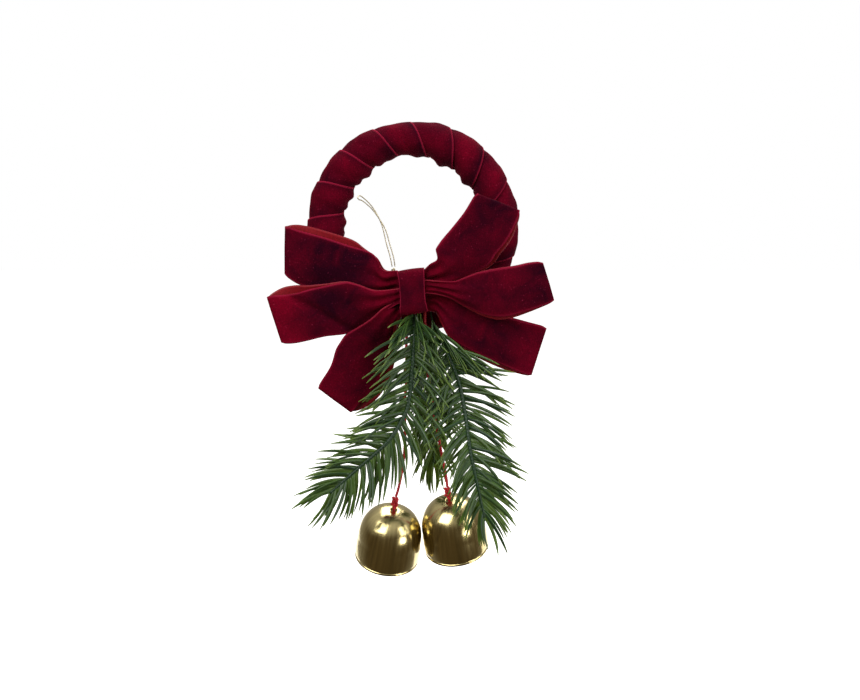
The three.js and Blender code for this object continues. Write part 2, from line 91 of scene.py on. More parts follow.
def blend(tree, share, low, high):
    """The output of a mix from one colour to another, each a hex colour or the output that gives it."""
    ends = [linear(end) if isinstance(end, str) else end for end in (low, high)]
    return add(tree, "ShaderNodeMix", {0: share, 6: ends[0], 7: ends[1]}, data_type="RGBA").outputs[2]


def speckle(tree, scale, detail, **more):
    """The output of a noise over the piece, with that many spots to the metre."""
    place = add(tree, "ShaderNodeTexCoord")
    inputs = {"Vector": place.outputs["Object"], "Scale": scale, "Detail": detail, **more}
    return add(tree, "ShaderNodeTexNoise", inputs).outputs[0]


def mottled(name, low, high, scale, detail, **settings):
    """A new material whose colour wanders between two tones: it, its node tree, shader and noise."""
    material, tree, shader = finish(name, **settings)
    noise = speckle(tree, scale, detail)
    tree.links.new(blend(tree, noise, low, high), shader.inputs["Base Color"])
    return material, tree, shader, noise


def through(points, step):
    """A smooth curve through the points, in even steps of about the given length."""
    p = np.array(points, float)
    ends = np.vstack([2 * p[0] - p[1], p, 2 * p[-1] - p[-2]])
    t = np.linspace(0, 1, 24, endpoint=False)[:, None]
    runs = []
    for a, b, c, d in zip(ends, ends[1:], ends[2:], ends[3:]):
        square, cube = 2 * a - 5 * b + 4 * c - d, 3 * b - a - 3 * c + d
        runs.append(0.5 * (2 * b + (c - a) * t + square * t**2 + cube * t**3))
    fine = np.vstack(runs + [p[-1:]])
    along = np.concatenate([[0], np.cumsum(np.linalg.norm(np.diff(fine, axis=0), axis=1))])
    count = max(3, int(round(along[-1] / step)) + 1)
    even = np.linspace(0, along[-1], count)
    return np.column_stack([np.interp(even, along, fine[:, k]) for k in range(p.shape[1])])


def skin(name, grid, materials, wrap_rows=False, wrap_columns=False, capped=False, flip=False):
    """A smooth surface over a grid of points in mm, with its UV map running along and across it.

    Rows or columns can close into a ring, ends can be capped, and flip turns the faces round."""
    rows, columns = grid.shape[:2]
    mesh = bpy.data.meshes.new(name)
    high, wide = rows - (not wrap_rows), columns - (not wrap_columns)
    faces, uvs = [], []
    for i in range(high):
        for j in range(wide):
            corners = [(i, j), (i, j + 1), (i + 1, j + 1), (i + 1, j)]
            if flip:
                corners.reverse()
            faces.append([(a % rows) * columns + b % columns for a, b in corners])
            uvs += [(a / high, b / wide) for a, b in corners]
    if capped:
        ends = [list(range(columns)), [(rows - 1) * columns + j for j in range(columns)]]
        ends[1 if flip else 0].reverse()
        faces += [ends[1], ends[0]]
        uvs += [(0.5, 0.5)] * (2 * columns)
    mesh.from_pydata((grid.reshape(-1, 3) * MM).tolist(), [], faces)
    layer = mesh.uv_layers.new(name="UVMap")
    layer.data.foreach_set("uv", np.array(uvs, np.float32).ravel())
    mesh.shade_smooth()
    for material in materials:
        mesh.materials.append(material)
    piece = bpy.data.objects.new(name, mesh)
    bpy.context.scene.collection.objects.link(piece)
    return piece


def rings(path, radius, sides, strands=0, lay=1.0, groove=0.0, closed=False):
    """Rings of points round a path: a plain tube, or twisted strands with one turn in each lay."""
    path = np.array(path, float)
    count = len(path)
    along = np.roll(path, -1, 0) - np.roll(path, 1, 0) if closed else np.gradient(path, axis=0)
    along /= np.linalg.norm(along, axis=1)[:, None]
    gone = np.concatenate([[0], np.cumsum(np.linalg.norm(np.diff(path, axis=0), axis=1))])
    first = np.cross(along[0], (0.31, 0.95, 0.05))
    frames = [first / np.linalg.norm(first)]
    for k in range(1, count):
        side = frames[-1] - along[k] * frames[-1].dot(along[k])
        frames.append(side / np.linalg.norm(side))
    turn = np.linspace(0, 2 * math.pi, sides, endpoint=False)
    grid = np.zeros((count, sides, 3))
    radii = np.broadcast_to(np.asarray(radius, float), (count,))
    for k in range(count):
        other = np.cross(along[k], frames[k])
        twist = 2 * math.pi * gone[k] / lay
        depth = np.ones(sides)
        if strands:
            depth = 1 - groove * (1 - abs(np.cos(strands * (turn - twist) / 2)))
        r = (radii[k] * depth)[:, None]
        grid[k] = path[k] + r * (np.cos(turn)[:, None] * frames[k] + np.sin(turn)[:, None] * other)
    return grid


# Polyester cord: spun bright filament, dyed a strong red, with a soft silky gloss.
red_cord, tree, shader, fibres = mottled("red polyester cord", "#8c0616", "#d8182c", 1500.0, 3.0,
                                         **{"Roughness": 0.55, "Sheen Weight": 0.25})
shader.inputs["Sheen Tint"].default_value = linear("#ff6a6a")
relief = add(tree, "ShaderNodeBump", {"Height": fibres, "Strength": 0.35, "Distance": 0.0002})
tree.links.new(relief.outputs[0], shader.inputs["Normal"])

TIED = -9.6  # depth at which cords and stems lie side by side under the bow
CORD_RADIUS = 0.74
STRANDS, LAY = 3, 3.2  # of the cord, and the length in which they make one turn
cord_routes = {
    "left": [(-2.2, TIED, -74), (-2.6, TIED, -82), (-3.2, TIED, -92), (-3.2, TIED, -107), (-4, TIED, -120),
             (-4.1, TIED, -141), (-5.4, TIED, -154), (-7.2, -10.8, -163), (-8.6, -11.8, -167.6)],
    "right": [(5.9, TIED, -74), (6, TIED, -82), (6.4, TIED, -96), (8.8, TIED, -116), (12.6, TIED, -138),
              (15.4, -10.2, -152), (16.6, -11.1, -158.6), (17, -11.8, -162.6)],
}
cords = {}
for side, route in cord_routes.items():
    path = through(route, 0.3)
    cord = skin(side + "_twisted_cord", rings(path, CORD_RADIUS, 15, STRANDS, LAY, 0.3), [red_cord],
                wrap_columns=True, capped=True)
    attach(cord, side + "_cord_body")
    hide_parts(side + "_cord")
    cords[side] = (cord, path)

# ---- knots of the cords --------------------------------------------------------------------------
# Above each bell the cord is knotted twice, one knot on the other. Its end goes down through the
# bell's hole to a stopper knot inside, and a loop below that holds the clapper.


def hung(points, crown, tilt, lean):
    """Points about a bell's own crown, put where that bell hangs."""
    turn = Matrix.Rotation(math.radians(lean), 3, "Y") @ Matrix.Rotation(math.radians(tilt), 3, "X")
    return np.asarray(points, float) @ np.array(turn).T + np.array(crown)


def knot_path(size, height, turn):
    """The path of an overhand knot, pulled tight."""
    t = np.linspace(0, 2 * math.pi, 90, endpoint=False)
    x, y = np.sin(t) + 2 * np.sin(2 * t), np.cos(t) - 2 * np.cos(2 * t)
    c, s = math.cos(turn), math.sin(turn)
    across, up = (c * x - s * y) * size / 3, (s * x + c * y) * size / 3
    return np.column_stack([across, -np.sin(3 * t) * size / 1.9, up + height])


BELL_TILT, BELL_LEAN = 17, 8.5  # degrees, the mouth back and the crown towards the other bell
LINK_RADIUS, LINK_HEIGHT = 1.6, -7.0  # of the loop that holds the clapper, and its middle's height
bells = {
    "left": ((-9.7, TIED, -174.6), BELL_TILT, BELL_LEAN),
    "right": ((18, TIED, -169.6), BELL_TILT, -BELL_LEAN),
}
for side, place_of_bell in bells.items():
    lumps = []
    for number, (size, height, turn) in enumerate([(1.5, 2.6, 0.4), (1.35, 5.6, 1.7)]):
        path = knot_path(size, height, turn) + (-0.25 * number, 0, 0)
        grid = rings(hung(path, *place_of_bell), 0.72, 10, STRANDS, LAY, 0.25, closed=True)
        lumps.append(skin(side + f"_knot_lump_{number}", grid, [red_cord], wrap_rows=True, wrap_columns=True))
    tail = through([(0.4, -0.3, 3.2), (0.2, -0.1, 1.2), (0, 0, -0.5), (0, 0, -2)], 0.3)
    for lump in lumps:
        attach(lump, side + "_cord_body")
    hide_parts(side + "_cord_knot")
    cord, path = cords[side]
    strand = skin(side + "_cord_end", rings(hung(tail, *place_of_bell), 0.7, 12, STRANDS, LAY, 0.22),
                  [red_cord], wrap_columns=True, capped=True)
    path = hung(knot_path(1.35, -2.9, 0.9), *place_of_bell)
    stopper = skin(side + "_inside_knot", rings(path, 0.62, 10, STRANDS, LAY, 0.25, closed=True),
                   [red_cord], wrap_rows=True, wrap_columns=True)
    t = np.linspace(0, 2 * math.pi, 48, endpoint=False)
    loop = np.column_stack([0 * t, LINK_RADIUS * np.sin(t), LINK_HEIGHT + LINK_RADIUS * np.cos(t)])
    grid = rings(hung(loop, *place_of_bell), 0.42, 10, STRANDS, LAY / 2, 0.25, closed=True)
    link = skin(side + "_loop_of_cord", grid, [red_cord], wrap_rows=True, wrap_columns=True)
    for soft in (strand, stopper, link):
        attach(soft, side + "_bell_body")
    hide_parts(side + "_stopper_knot")
    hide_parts(side + "_clapper_loop")

# ---- hanging thread ------------------------------------------------------------------------------
# A slack loop of gold metallic thread, two plies twisted together, knotted above the bow.

# Metallised film over a fine core: it glints along its twist, and its colour is mottled from dull gold to
# nearly white as painted glints.
gold_thread, tree, shader, _ = mottled("gold metallic thread", "#a8986c", "#efe8d2", 300.0, 2.0,
                                       **{"Metallic": 0.85, "Roughness": 0.32})

THREAD_DEPTH = -11.2
THREAD_RADIUS = 0.3
outline = [(-9.9, -53.1), (-10.9, -48), (-12.6, -42), (-14.6, -33.6), (-17.4, -27.4), (-20.6, -23),
           (-24, -19.9), (-25.4, -19.3), (-26.2, -20.2), (-25.4, -21.2), (-23.8, -21.8), (-19.8, -25.2),
           (-16.4, -29.6), (-13, -35.4), (-10.9, -42.6), (-9.3, -48.2), (-8.5, -53.1)]
path = through([(x, THREAD_DEPTH, z) for x, z in outline], 0.14)
thread = skin("gold_thread", rings(path, THREAD_RADIUS, 8, 2, 2.0, 0.18), [gold_thread], wrap_columns=True,
              capped=True)
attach(thread, "ornament")
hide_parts("hanger_thread")
low = knot_path(0.85, 0, 0.6) + (-9.2, THREAD_DEPTH - 0.1, -54.7)
knot = skin("gold_knot", rings(low, THREAD_RADIUS, 8, 2, 1.3, 0.3, closed=True), [gold_thread],
            wrap_rows=True, wrap_columns=True)
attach(knot, "ornament")
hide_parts("hanger_knot")

# ---- velvet --------------------------------------------------------------------------------------
# All the ribbon is one stock: burgundy velvet on a red satin backing, with a woven edge each side.

# Velvet: upright cut pile that drinks the light face on and shines at a slant. Its colour runs from dark
# to redder with a pile tone kept on each ribbon: partly where the pile leans over at folds and gathers,
# partly painted sheen and shade. Its two edges are a flat band of brighter thread.
velvet, tree, shader = finish("burgundy velvet", **{"Roughness": 1.0, "Sheen Weight": 0.26,
                                                   "Sheen Roughness": 0.28, "Specular IOR Level": 0.05})
shader.inputs["Sheen Tint"].default_value = linear("#d80034")
# The pile tone kept on each ribbon is partly the lean of its pile and partly painted sheen, highlight and
# shade.
nap = add(tree, "ShaderNodeAttribute", attribute_name="nap")
crushed = speckle(tree, 110.0, 3.0, **{"Roughness": 0.6, "Distortion": 0.8})
patches = add(tree, "ShaderNodeMapRange", {"Value": crushed, 1: 0.3, 2: 0.7, 3: -0.16, 4: 0.16})
pile_lean_and_painted_light = add(tree, "ShaderNodeMath", {0: patches.outputs[0], 1: nap.outputs["Fac"]}, operation="ADD",
                   use_clamp=True)
face = blend(tree, pile_lean_and_painted_light.outputs[0], "#21000d", "#640016")
pile = speckle(tree, 1500.0, 2.0)
tips = add(tree, "ShaderNodeMapRange", {"Value": pile, 1: 0.35, 2: 0.75, 3: 0.8, 4: 1.25})
grain = add(tree, "ShaderNodeVectorMath", {0: face, 3: tips.outputs[0]}, operation="SCALE")
lint = add(tree, "ShaderNodeMapRange", {"Value": pile, 1: 0.69, 2: 0.77, 4: 0.5})
dusted = blend(tree, lint.outputs[0], grain.outputs[0], "#8c3048")
place = add(tree, "ShaderNodeTexCoord")
across = add(tree, "ShaderNodeSeparateXYZ", {0: place.outputs["UV"]})
from_middle = add(tree, "ShaderNodeMath", {0: across.outputs[1], 1: 0.5}, operation="SUBTRACT")
off = add(tree, "ShaderNodeMath", {0: from_middle.outputs[0]}, operation="ABSOLUTE")
border = add(tree, "ShaderNodeMapRange", {"Value": off.outputs[0], 1: 0.455, 2: 0.487})
threads = blend(tree, tips.outputs[0], "#3c0310", "#741028")
tree.links.new(blend(tree, border.outputs[0], dusted, threads), shader.inputs["Base Color"])
relief = add(tree, "ShaderNodeBump", {"Height": pile, "Strength": 0.5, "Distance": 0.0003})
tree.links.new(relief.outputs[0], shader.inputs["Normal"])

# Satin backing: smooth woven polyester, a deep clear red with a broad soft gloss.
satin, tree, shader, _ = mottled("red satin backing", "#56040f", "#8c0a18", 1100.0, 2.0,
                                 **{"Roughness": 0.5, "Specular IOR Level": 0.25})

# Woven edge: the ribbon's cut-free side, seen end on as a fine line lighter than the pile.
woven_edge, tree, shader, _ = mottled("woven ribbon edge", "#4a0410", "#8a1028", 1400.0, 1.0,
                                      **{"Roughness": 0.8, "Specular IOR Level": 0.2})

ribbon_stock = [velvet, satin, woven_edge]


def mark(piece, label, values):
    """Keeps a number for each vertex of a piece, under a name that its material reads."""
    kept = piece.data.attributes.new(label, "FLOAT", "POINT")
    kept.data.foreach_set("value", np.asarray(values, np.float32).ravel())


def thicken(piece, thickness):
    """Gives a ribbon its thickness in mm towards its back, with satin there and the woven edge between."""
    wall = piece.modifiers.new("thickness", "SOLIDIFY")
    wall.thickness, wall.offset = thickness * MM, -1
    wall.material_offset, wall.material_offset_rim = 1, 2
    dg = bpy.context.evaluated_depsgraph_get()
    solid = bpy.data.meshes.new_from_object(piece.evaluated_get(dg))
    piece.modifiers.clear()
    piece.data = solid
    solid.name = piece.name


# ---- hoop ----------------------------------------------------------------------------------------
# A moulded ring wound with one ribbon in seventeen overlapping turns. Each turn lies on the next and
# shows its edge, and on the inside of the ring the ribbon bunches into pleats.

HOOP_CENTRE = np.array([0, 0, -34.8])
HOOP_RADIUS = 43.2
BED_RADIUS = 7.78  # of the wound section, before its laps and bumps
WOUND_WIDTH = 25.7  # of the ribbon along the ring, stretched a little on the slant
FIRST_SEAM = -14.2  # degrees
SQUEEZES = [(98, 0.8, 0.3), (-90, 0.62, 0.4)]  # degrees round the hoop, strength and spread
LAP_STEP, PILLOW, PLEAT, RIPPLE, CREASE = 0.85, 0.75, 0.75, 0.16, 0.35
turns, stops, columns = 17, 56, 22
pitch = 2 * math.pi / turns
grid = np.zeros((turns * stops, columns, 3))
nap = np.zeros((turns * stops, columns))
rng = np.random.default_rng(11)
puckers = rng.uniform(0, 2 * math.pi, (turns + 1, 3))
for i in range(turns * stops):
    turn = 2 * math.pi * i / stops
    number, theta = divmod(turn, 2 * math.pi)
    done = theta / (2 * math.pi)
    base = math.radians(FIRST_SEAM) - pitch * turn / (2 * math.pi)
    edge = base - math.radians(3.0 + 4.0 * math.cos(base)) * (1 - math.cos(theta)) / 2
    width = WOUND_WIDTH / (HOOP_RADIUS + 7.5 * math.cos(theta))
    phases = puckers[int(number) % turns] * (1 - done) + puckers[(int(number) + 1) % turns] * done
    off = np.linspace(0, 1, columns) * width
    share = off / pitch
    seen = np.clip(share, 0, 1)
    swell = np.sin(math.pi * seen)
    # The first part of each turn lies on the one before it, then steps down.
    lap = (width - pitch) / pitch
    drop = np.clip((share - lap + 0.12) / 0.3, 0, 1)
    over = LAP_STEP * (1 - drop * drop * (3 - 2 * drop))
    pillow = PILLOW * np.sin(math.pi * seen**1.25) ** 1.2
    inside = math.exp(-(((theta - math.pi) / 0.8) ** 2))
    pleats = PLEAT * inside * (1 + np.sin(2 * math.pi * 1.7 * share + phases[0])) * swell**0.5
    ripple = RIPPLE * np.sin(2.2 * math.pi * share + 3 * theta + phases[1]) * swell
    at_crease = (share - 0.55 - 0.2 * math.sin(theta + phases[2])) / 0.07
    crease = -CREASE * np.exp(-(at_crease**2)) * math.sin(theta) ** 2
    # The ribbon lies flatter near the top, and is pulled in at the bottom where the bow is wired on.
    phi = edge + off
    tight = 0
    for at, strength, spell in SQUEEZES:
        away = (phi - math.radians(at - 180)) % (2 * math.pi) - math.pi
        tight = tight + strength * np.exp(-((away / spell) ** 2))
    r = BED_RADIUS - 0.25 * tight + (over + pillow + pleats) * (1 - tight) + ripple + crease
    # The pile tone on the hoop is mostly painted light and shade: lighter across the swell of each turn on
    # the front and back of the ring, darker next to each seam, with a slow random wander.
    nap[i] = (0.3 + 0.3 * swell * abs(math.sin(theta)) - 0.25 * (1 - seen) ** 4
              + 0.12 * np.sin(5 * share + phases[2]))
    ring = HOOP_RADIUS + r * math.cos(theta)
    grid[i] = np.column_stack([ring * np.cos(phi), -r * math.sin(theta), ring * np.sin(phi)]) + HOOP_CENTRE
wrap = skin("hoop_wrap", grid, ribbon_stock, wrap_rows=True)
mark(wrap, "nap", nap)
thicken(wrap, 0.65)
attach(wrap, "ornament")
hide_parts("hoop_ribbon")

# Moulded pulp ring: matte and fibrous, bare only in the joint under the bow.
pulp, tree, shader, _ = mottled("moulded pulp", "#6f675b", "#a39b8c", 400.0, 4.0, **{"Roughness": 0.9})
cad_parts["hoop_core"].material_slots[0].material = pulp

# ---- bow -----------------------------------------------------------------------------------------
# Three ribbons, each folded flat into two loops and gathered in the middle. Every loop is two layers
# of ribbon, and the rear one shows along one side, with its satin towards the front.

# Each loop is drawn by the upper and lower edge of its front layer, and of its rear layer where that
# shows, as (x, z) from the knot to the fold. Depth gives (share of the way, y of the upper edge, y of the
# lower edge), gap how far the rear layer is behind, crown how much the layers bulge, pleats their size,
# number and phase at the knot, and the pile tone at the knot, the middle and the fold: partly how far the
# pile leans, partly painted sheen.
bow = {
    "back": {
        "left": dict(
            upper=[(-7.3, -54.9), (-12.8, -55.1), (-15.2, -53.2), (-16.5, -49.6), (-18.9, -46.7),
                   (-23, -44.9), (-29.2, -43.1), (-41.5, -39), (-53.6, -35.7), (-59.4, -33.7)],
            lower=[(-7.4, -63.4), (-11.7, -64.4), (-16.5, -65.4), (-22.3, -65.9), (-30, -66.4),
                   (-39.5, -66), (-50.5, -62.7), (-55.7, -60.7), (-60.4, -57.6)],
            rear_upper=[(-7.3, -54.9), (-13.1, -54.4), (-16.8, -48.7), (-23, -44.3), (-27.3, -41),
                        (-33.2, -38.6), (-45.4, -34.9), (-53.6, -33.1), (-59.4, -33.1)],
            depth=[(0, -15.4, -15.4), (0.15, -17.5, -16.4), (0.24, -18.6, -17.2), (0.34, -16.4, -16.6),
                   (0.6, -16.8, -17.2), (1, -17.2, -17.4)],
            gap=[(0, 1.2), (0.2, 2.6), (0.5, 5), (0.8, 4.4), (1, 2.4)],
            crown=1.7, pleats=(1.0, 2.3, 0.6), nap=(0.6, 0.02, 0.42)),
        "right": dict(
            upper=[(6, -63.8), (11.3, -64.4), (18, -65.6), (25.2, -68.7), (32.4, -72.1), (39.7, -75.1),
                   (46.9, -77.3), (52.7, -78.9), (58.5, -80.4), (63.8, -81.6)],
            lower=[(7, -74), (9.8, -74.5), (12, -75.2), (13.9, -79.2), (16.6, -84.7), (20.9, -88.7),
                   (25.3, -91.6), (33.6, -95.8), (44.7, -100.9), (56.4, -105.6)],
            rear_lower=[(7, -74), (9.8, -74.5), (12, -75.5), (13.9, -79.8), (16.6, -85.9), (20.9, -90.2),
                        (25.3, -93.6), (33.6, -98.4), (44.7, -103.2), (56.4, -106.2)],
            depth=[(0, -15.4, -15.4), (0.15, -16.6, -17.8), (0.3, -17.2, -18.4), (0.6, -17, -17.4),
                   (1, -16.6, -16.8)],
            gap=[(0, 1.2), (0.2, 2.6), (0.5, 5), (0.8, 4.4), (1, 2.4)],
            crown=1.7, pleats=(1.0, 2.6, 2.2), nap=(0.6, 0.22, 0.5)),
    },
    "middle": {
        "left": dict(
            upper=[(-7.4, -69.1), (-13.7, -72.4), (-19, -76.9), (-25.1, -80.9), (-29.3, -83.3),
                   (-32.2, -85.3), (-34.7, -88.8), (-36.9, -92.6), (-39.8, -101), (-46, -110.6)],
            lower=[(-4.8, -75.8), (-7.9, -81), (-9.9, -88.5), (-10.9, -95.3), (-12.7, -100.2),
                   (-15.2, -105.6), (-19.8, -112.9), (-24.1, -117.8), (-26, -119.3), (-28.9, -123.2)],
            rear_lower=[(-4.8, -75.8), (-6.6, -82.2), (-7.9, -89.5), (-8.3, -96.2), (-9.4, -102),
                        (-11.2, -107.8), (-15.4, -115.2), (-20, -119.8), (-24.2, -122.4), (-28.9, -123.8)],
            depth=[(0, -18.3, -18.1), (0.12, -23.4, -15.6), (0.32, -24.6, -13.6), (0.5, -21.6, -14.4),
                   (0.75, -18.8, -16.2), (1, -17.4, -17.4)],
            gap=[(0, 1.2), (0.2, 2), (0.5, 3.6), (0.8, 4), (1, 2.4)],
            crown=1.5, pleats=(0.8, 2.4, 1.0), nap=(0.5, 0.3, 0.6)),
        "right": dict(
            upper=[(5.5, -54.3), (8.4, -51.4), (11.7, -49.3), (11.3, -45.7), (11.1, -44.3), (13.9, -40.2),
                   (18.8, -34.4), (24.1, -27.7), (27.1, -22.8), (29.2, -19)],
            lower=[(6, -61.9), (11.3, -61.4), (16.9, -60.4), (23.6, -58.4), (30.1, -55.5), (36.4, -51.4),
                   (39.5, -46.5), (43.9, -41.1), (47.5, -34.8), (50.7, -27.4)],
            rear_lower=[(6, -61.9), (11.3, -61.6), (17.9, -60.4), (25, -58.6), (33, -55.2), (38.6, -51.5),
                        (41.8, -46.9), (47.1, -39.7), (50, -31.6), (50.9, -27.6)],
            depth=[(0, -18.1, -18.1), (0.14, -20.6, -18.6), (0.26, -22.6, -19.4), (0.42, -20.8, -20.6),
                   (0.7, -22.2, -22.2), (1, -23.2, -23.2)],
            gap=[(0, 1.2), (0.2, 2.6), (0.5, 4.4), (0.8, 4.6), (1, 2.4)],
            crown=1.6, pleats=(1.1, 2.2, 3.9), nap=(0.6, 0.3, 0.12)),
    },
    "front": {
        "left": dict(
            upper=[(-7.3, -63.3), (-14.4, -63.8), (-19.2, -63.5), (-24.8, -61.2), (-29.6, -59.7),
                   (-32.9, -59.7), (-40.9, -61.3), (-49.4, -63.2), (-56.6, -65.2), (-67.6, -66)],
            lower=[(-7.3, -70.4), (-13, -73.7), (-19.2, -77.9), (-25.8, -82), (-31.9, -84.7),
                   (-41.3, -85.6), (-49.5, -87.4), (-55.1, -88.5), (-60.8, -88.9)],
            rear_upper=[(-7.3, -63.2), (-14.4, -63.7), (-19.5, -63.1), (-25.2, -60.9), (-31.7, -59.3),
                        (-41.1, -60.5), (-49.5, -61.3), (-55, -61.2), (-61.2, -62.3), (-67.4, -65.6)],
            depth=[(0, -20.8, -20.6), (0.15, -23.4, -19.8), (0.35, -26, -19.6), (0.55, -26.2, -22),
                   (0.8, -26.4, -25.6), (1, -26, -26.4)],
            gap=[(0, 1.2), (0.2, 1.6), (0.4, 2.4), (0.7, 4), (1, 2.6)],
            crown=1.6, pleats=(0.9, 2.4, 5.0), nap=(0.5, 0.18, 0.85),
            crease=((0.86, 1.0), (0.48, 0.12), 1.3)),
        "right": dict(
            upper=[(5.6, -59), (10.3, -59.4), (15, -59.5), (20.2, -59.2), (25.8, -57), (31.8, -54.8),
                   (40.2, -53.1), (48.1, -52), (54.1, -50.6), (59.9, -49.8)],
            lower=[(6.5, -65.1), (11.7, -65.5), (17.9, -67.3), (24.9, -70.9), (31.9, -74.1), (36.6, -75.4),
                   (41.3, -75.9), (47, -75.2), (55.4, -72.6), (65.9, -69.2)],
            rear_lower=[(6.5, -65.1), (11.7, -66), (17.9, -67.8), (24.9, -71.8), (31.9, -75.4),
                        (36.6, -77), (41.3, -77.7), (47.9, -76.7), (56.3, -73.7), (66, -69.4)],
            depth=[(0, -20.8, -20.8), (0.15, -22.6, -23), (0.35, -25.4, -25.2), (0.6, -27, -26.8),
                   (1, -27.2, -27.2)],
            gap=[(0, 1.2), (0.2, 1.8), (0.5, 4), (0.8, 4.4), (1, 2.6)],
            crown=1.7, pleats=(1.0, 2.6, 0.2), nap=(0.65, 0.3, 0.2)),
    },
}


def smoothly(samples, at):
    """Smooth interpolation between (position, value, ...) samples."""
    table = np.array(samples, float)
    window = np.hanning(15)[1:-1]
    out = []
    for k in range(1, table.shape[1]):
        fine = np.interp(np.linspace(0, 1, 101), table[:, 0], table[:, k])
        soft = np.convolve(np.pad(fine, 6, mode="edge"), window / window.sum(), "valid")
        out.append(np.interp(at, np.linspace(0, 1, len(soft)), soft))
    return out[0] if len(out) == 1 else out


def loop_layers(loop, rows=72, columns=30):
    """One loop's front and rear layers, grids from the knot to the fold with the lower edge first, and
    its pile tone: partly how far its pile leans, partly painted sheen."""
    s = 1 - (1 - np.linspace(0, 1, rows)[:, None]) ** 1.6
    v = np.linspace(0, 1, columns)[None, :]
    near, far = smoothly(loop["depth"], s[:, 0])
    gap = smoothly(loop["gap"], s[:, 0])
    size, count, phase = loop["pleats"]
    bulge = loop["crown"] * np.sin(math.pi * v) ** 0.8 * np.sin(math.pi * np.clip(s, 0, 1)) ** 0.8
    pleats = size * np.exp(-((s / 0.3) ** 2)) * (0.35 + np.minimum(s / 0.1, 1) * 0.65) * np.sin(
        2 * math.pi * count * v + phase + 1.5 * s)
    waves = 0.14 * np.sin(9 * s + 5 * v + phase) + 0.1 * np.sin(21 * s - 9 * v + 2 * phase)
    layers = []
    for rear in (False, True):
        edges = []
        for side in ("lower", "upper"):
            points = loop.get("rear_" + side, loop[side]) if rear else loop[side]
            run = through([(x, 0, z) for x, z in points], 0.25)
            even = np.linspace(0, 1, len(run))
            edges.append(np.column_stack([np.interp(s[:, 0], even, run[:, k]) for k in range(3)]))
        # The two corners of the fold are worn a little round.
        across = edges[1] - edges[0]
        to_fold = np.linalg.norm(edges[0] - edges[0][-1], axis=1)
        inset = (0.45 * np.exp(-to_fold / 0.9) / np.linalg.norm(across, axis=1))[:, None]
        share = inset + (1 - 2 * inset) * v
        grid = edges[0][:, None] + across[:, None] * share[..., None]
        y = far[:, None] + (near - far)[:, None] * v + pleats + waves + (bulge if rear else -bulge)
        if rear:
            y = y + gap[:, None]
        elif "crease" in loop:
            (s0, v0), (s1, v1), depth = loop["crease"]
            line = np.array([s1 - s0, (v1 - v0) * 0.4])
            off = ((s - s0) * line[1] - (v - v0) * 0.4 * line[0]) / np.hypot(*line)
            y = y + depth * np.exp(-((off / 0.035) ** 2)) * np.clip((v - v1 + 0.25) / 0.3, 0, 1)
        grid[..., 1] = y
        layers.append(grid)
    # The pile tone follows the given values at the knot, the middle and the fold, and is lighter close to
    # both edges of the ribbon: painted sheen along with the leaning pile.
    root, body, end = loop["nap"]
    lean = smoothly([(0, root), (0.16, root), (0.34, body), (0.72, body), (0.93, end), (1, end)], s[:, 0])
    lean = lean[:, None] + 0.28 * np.exp(-((np.minimum(v, 1 - v) / 0.07) ** 2))
    return layers[0], layers[1], lean + 0.1 * np.sin(7 * s + 4 * v + phase) * np.sin(5 * v - 3 * s)


def fold(front, rear, steps=7):
    """The turn at a loop's end, from its front layer round to its rear layer."""
    outwards = front[-1] - front[-6]
    outwards[:, 1] = 0
    outwards /= np.linalg.norm(outwards, axis=1)[:, None]
    middle, half = (front[-1] + rear[-1]) / 2, (front[-1] - rear[-1]) / 2
    depth = np.abs(half[:, 1])[:, None]
    angles = math.pi * np.arange(1, steps) / steps
    return np.array([middle + half * math.cos(a) + outwards * depth * math.sin(a) for a in angles])


for name, loops in bow.items():
    left_front, left_rear, left_nap_and_painted_light = loop_layers(loops["left"])
    right_front, right_rear, right_nap_and_painted_light = loop_layers(loops["right"])
    share = np.linspace(0, 1, 10)[1:-1, None, None]
    front_middle = left_front[0] + (right_front[0] - left_front[0]) * share
    rear_middle = right_rear[0] + (left_rear[0] - right_rear[0]) * share
    grid = np.concatenate([left_front[::-1], front_middle, right_front, fold(right_front, right_rear),
                           right_rear[::-1], rear_middle, left_rear, fold(left_front, left_rear)[::-1]])
    gathered, turned = np.full((8, grid.shape[1]), 0.4), np.ones((6, 1))
    nap = np.concatenate([left_nap_and_painted_light[::-1], gathered, right_nap_and_painted_light, turned * right_nap_and_painted_light[-1],
                          right_nap_and_painted_light[::-1], gathered, left_nap_and_painted_light, turned * left_nap_and_painted_light[-1]])
    ribbon = skin(name + "_ribbon", grid, ribbon_stock, wrap_rows=True, flip=True)
    mark(ribbon, "nap", nap)
    thicken(ribbon, 0.6)
    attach(ribbon, "ornament")
    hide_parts(name + "_bow_ribbon")

# ---- knot band -----------------------------------------------------------------------------------
# One turn of folded ribbon round the gathered middle of the bow, leaning a little to the left. Its
# sides draw in at the middle, where it is pulled tight.

